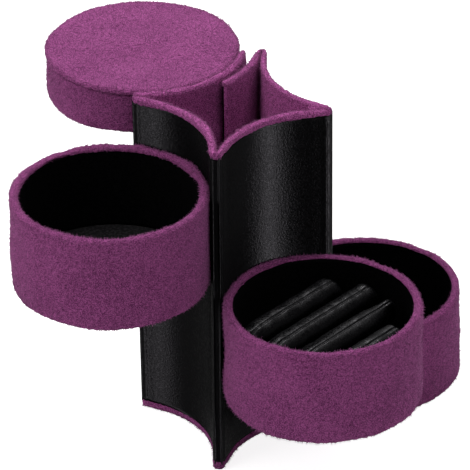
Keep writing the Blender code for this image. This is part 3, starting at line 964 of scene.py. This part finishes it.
# Lid
def lid_cloth(body):
    """Suede side and padded top of the lid, joined by a turned seam."""
    side, top = "lid_side_suede", "lid_top_cover"
    centre = plan_centre(top)
    low_corner, high_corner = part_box(side)
    _, crown_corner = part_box(top)
    radius, _ = polar_about(centre, node_points(side))
    outer, inner = radius.max(), radius.min()
    low, seam, high = low_corner.z, high_corner.z, crown_corner.z + lid_rise
    middle, half = (inner + outer) / 2, (outer - inner) / 2
    section, fibres = outlined(
        (run((outer, low + rim_height), (outer, seam - seam_round), cell), face_fibres),
        (bend((outer - seam_round, seam - seam_round), seam_round, seam_round, 0.0, 90.0, 4), face_fibres),
        ([(outer - 2 * seam_round, seam), (outer - 2 * seam_round, low + suede_skin)], 0.0),
        ([(inner + lip_depth, low + suede_skin), (inner + lip_depth, low + lid_wrap), (inner, low + lid_wrap)], 0.0),
        (bend((middle, low + rim_height), half, rim_height, 180.0, 360.0, 10)[:-1], edge_fibres),
    )
    count = math.ceil(math.tau * outer / cell)
    turns = math.tau * np.arange(count) / count
    rings = np.array([place(centre, turn, section) for turn in turns])
    made = swept("lid_side_cover", rings, looks["purple_suede"], closed=True)
    brush(made, 71)
    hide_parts(side)
    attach(made, body)
    covers[body].append((made, fibres))
    cover_low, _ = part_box(top)
    edge = (crown_corner.x - cover_low.x) / 2 + lid_overhang
    base = cover_low.z - 0.0002
    shoulder = edge - lid_edge
    across = np.arange(shoulder - cell, 0.0, -cell)
    profile, fibres = outlined(
        ([(shoulder, base), (edge - seam_round, base)], 0.0),
        (bend((edge - seam_round, base + seam_round), seam_round, seam_round, -90.0, 0.0, 4)[1:], face_fibres),
        (bend((shoulder, high - lid_crown - lid_edge), lid_edge, lid_edge, 0.0, 90.0, 8)[1:], edge_fibres),
        (np.stack([across, high - lid_crown * (across / edge) ** 2], 1), face_fibres),
    )
    points = np.concatenate([place(centre, turn, profile) for turn in turns])
    columns = len(profile)
    faces = grid_faces(count, columns, True, False)
    tip, foot = len(points), len(points) + 1
    points = np.concatenate([points, [(*centre, high), (*centre, base)]])
    faces += [[n * columns + columns - 1, (n + 1) % count * columns + columns - 1, tip] for n in range(count)]
    faces += [[n * columns, (n + 1) % count * columns, foot] for n in range(count)]
    crowned = mesh_piece("lid_top", points, faces, looks["purple_suede"])
    radius, _ = polar_about(centre, vertices(crowned))
    brush(crowned, 83, speckled=radius / edge)
    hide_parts(top)
    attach(crowned, body)
    covers[body].append((crowned, fibres))


centres = {
    "bottom": plan_centre("bottom_tub_suede"),
    "middle": plan_centre("middle_tub_suede"),
    "upper": plan_centre("upper_tub_suede"),
    "lid": plan_centre("lid_top_cover"),
}
star_centre = np.mean(list(centres.values()), axis=0)
frame_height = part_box("bottom_panel_suede")[1].z
covers = {body: [] for body in frame["bodies"]}
panel_satin = []
roll_satin = []


def turned_about(point, axis, degrees):
    """Plan point turned about an axis."""
    turn = math.radians(degrees)
    away = point - axis
    return axis + np.array([
        away[0] * math.cos(turn) - away[1] * math.sin(turn),
        away[0] * math.sin(turn) + away[1] * math.cos(turn),
    ])


flap_range = next(joint for joint in frame["joints"] if joint["name"] == "flap_fold")["range_deg"][1]
flap_centre = turned_about(centres["bottom"], fold_axes["flap_fold"], flap_range)

panel_cloth("bottom_panel", "bottom_tier", centres["bottom"], "flap_fold", "lower_fold")
panel_cloth("middle_panel", "middle_tier", centres["middle"], "lower_fold", "upper_fold")
panel_cloth("upper_panel", "upper_tier", centres["upper"], "upper_fold", "lid_fold")
panel_cloth("lid_panel", "lid_tier", centres["lid"], "lid_fold", None)
panel_cloth("flap", "closure_flap", flap_centre, None, "flap_fold")
panel_board("bottom_panel", "bottom_tier", centres["bottom"], "flap_fold", "lower_fold")
panel_board("middle_panel", "middle_tier", centres["middle"], "lower_fold", "upper_fold")
panel_board("upper_panel", "upper_tier", centres["upper"], "upper_fold", "lid_fold")
panel_board("lid_panel", "lid_tier", centres["lid"], "lid_fold", None)
panel_board("flap", "closure_flap", flap_centre, None, "flap_fold")

fold_sides = {
    "bottom": (centres["bottom"], "bottom_panel"),
    "middle": (centres["middle"], "middle_panel"),
    "upper": (centres["upper"], "upper_panel"),
    "lid": (centres["lid"], "lid_panel"),
    "flap": (flap_centre, "flap"),
}
fold_cloth("lower_fold", fold_sides["bottom"], fold_sides["middle"])
fold_cloth("upper_fold", fold_sides["middle"], fold_sides["upper"])
fold_cloth("lid_fold", fold_sides["upper"], fold_sides["lid"])
fold_cloth("flap_fold", fold_sides["bottom"], fold_sides["flap"])

tub_cover("bottom", "bottom_tier", (203.0, 243.0), 0.0009, 233.0)
tub_cover("middle", "middle_tier", (133.0, 172.0), 0.0008, 165.0, 0.0005)
tub_cover("upper", "upper_tier", (31.0, 71.0), 0.0006, 39.6)
for tier in tub_shift:
    tub_card(tier, tier + "_tier")
tub_lining("bottom", "bottom_tier", 250.0)
tub_lining("middle", "middle_tier", 10.0)
tub_lining("upper", "upper_tier", 170.0)
ring_bed("middle_tier")
for number, (crease, taper) in enumerate(((-0.18, 0.0), (-0.18, 0.0), (-0.15, 0.45), (-0.15, 0.15)), start=1):
    ring_roll(number, "middle_tier", crease, taper)
lid_cloth("lid_tier")
for number, (body, swathed) in enumerate(covers.items()):
    nap(body + "_nap", body, swathed, 900 + number)


# Camera
def direction(azimuth_degrees, elevation_degrees):
    """Unit vector towards a compass place: azimuth 0 is -Y and 90 is +X."""
    azimuth, elevation = math.radians(azimuth_degrees), math.radians(elevation_degrees)
    level = math.cos(elevation)
    return Vector((math.sin(azimuth) * level, -math.cos(azimuth) * level, math.sin(elevation)))


def add_camera():
    """Camera at the photograph's viewpoint."""
    back = direction(camera_azimuth_degrees, camera_elevation_degrees)
    level_right = Vector((math.cos(math.radians(camera_azimuth_degrees)), math.sin(math.radians(camera_azimuth_degrees)), 0.0))
    level_up = back.cross(level_right)
    roll = math.radians(camera_roll_degrees)
    right = level_right * math.cos(roll) + level_up * math.sin(roll)
    up = level_up * math.cos(roll) - level_right * math.sin(roll)
    data = bpy.data.cameras.new("camera")
    data.sensor_width = sensor_width_mm
    data.lens = camera_focal_px / photo_width_px * sensor_width_mm
    data.clip_end = 20.0
    camera = bpy.data.objects.new("camera", data)
    bpy.context.scene.collection.objects.link(camera)
    aim = Vector((*centres["bottom"], camera_aim_height))
    place_at = aim + back * camera_distance + right * camera_right + up * camera_up
    axes = Matrix((right, up, back)).transposed().to_4x4()
    camera.matrix_world = Matrix.Translation(place_at) @ axes
    bpy.context.scene.camera = camera


# Studio
def softbox(name, azimuth_degrees, elevation_degrees, distance, size, power, aim=(0.0, 0.0, 0.09)):
    """Square lamp that faces the object."""
    data = bpy.data.lights.new(name, "AREA")
    data.shape = "SQUARE"
    data.size = size
    data.energy = power
    lamp = bpy.data.objects.new(name, data)
    bpy.context.scene.collection.objects.link(lamp)
    towards = direction(azimuth_degrees, elevation_degrees)
    lamp.location = Vector(aim) + towards * distance
    lamp.rotation_euler = towards.to_track_quat("Z", "Y").to_euler()
    return lamp


def light_only(lamp, pieces, only_shade=False):
    """Keeps a lamp to some pieces, and if wanted their shadows too, as flags on stands do."""
    lit = bpy.data.collections.new("lit_by_" + lamp.name)
    for piece in pieces:
        lit.objects.link(piece)
    lamp.light_linking.receiver_collection = lit
    if only_shade:
        lamp.light_linking.blocker_collection = lit


def keep_off(lamp, pieces):
    """Keeps a lamp off some pieces, as a flag on a stand does."""
    dark = bpy.data.collections.new("off_" + lamp.name)
    for piece in pieces:
        dark.objects.link(piece)
    for row in dark.collection_objects:
        row.light_linking.link_state = "EXCLUDE"
    lamp.light_linking.receiver_collection = dark


def seen_directly(tree):
    """1 for rays that show the background: from the camera, off gloss or through glass."""
    rays = add(tree, "ShaderNodeLightPath")
    glossy = combine(tree, "MAXIMUM", rays.outputs["Is Glossy Ray"], rays.outputs["Is Transmission Ray"])
    return combine(tree, "MAXIMUM", rays.outputs["Is Camera Ray"], glossy)


def add_world(ambient):
    """White background over a plain ambient light."""
    world = bpy.data.worlds.new("studio")
    world.use_nodes = True
    tree = world.node_tree
    background = tree.nodes["Background"]
    background.inputs["Color"].default_value = (1.0, 1.0, 1.0, 1.0)
    strength = spread(tree, seen_directly(tree), 0.0, 1.0, ambient, 1.0)
    tree.links.new(strength, background.inputs["Strength"])
    bpy.context.scene.world = world


def add_floor(half, glow):
    """Pale floor that keeps a soft shadow under the object."""
    mesh = bpy.data.meshes.new("floor")
    level = -0.0001
    corners = [(-half, -half, level), (half, -half, level), (half, half, level), (-half, half, level)]
    mesh.from_pydata(corners, [], [(0, 1, 2, 3)])
    made, tree, shader = new_material("floor")
    tint = blend_colours(tree, noise(tree, 3.0, 2.0, stretched(tree, (1.0, 1.0, 1.0))), (0.78, 0.78, 0.78), (0.82, 0.82, 0.82))
    tree.links.new(tint, shader.inputs["Base Color"])
    shader.inputs["Roughness"].default_value = 0.9
    shader.inputs["Specular IOR Level"].default_value = 0.0
    shader.inputs["Emission Color"].default_value = (1.0, 1.0, 1.0, 1.0)
    tree.links.new(spread(tree, seen_directly(tree), 0.0, 1.0, 0.0, glow), shader.inputs["Emission Strength"])
    mesh.materials.append(made)
    floor = bpy.data.objects.new("floor", mesh)
    bpy.context.scene.collection.objects.link(floor)


add_camera()
softbox("back_box", 185.0, 62.0, 1.25, 1.1, 13.6)
keep_off(softbox("left_box", -55.0, 42.0, 1.3, 0.9, 7.0), roll_satin)
keep_off(softbox("right_box", 46.0, 58.0, 1.4, 0.7, 3.4), roll_satin)
light_only(softbox("right_strip", 72.0, 12.0, 1.4, 0.20, 196.0), panel_satin)
light_only(softbox("left_strip", -38.0, 12.0, 1.4, 0.30, 132.0), panel_satin)
light_only(softbox("roll_strip", 194.0, 55.0, 1.4, 0.40, 56.0), roll_satin, True)
add_world(0.20)
add_floor(4.0, 0.85)
bpy.context.scene.view_settings.view_transform = "Standard"
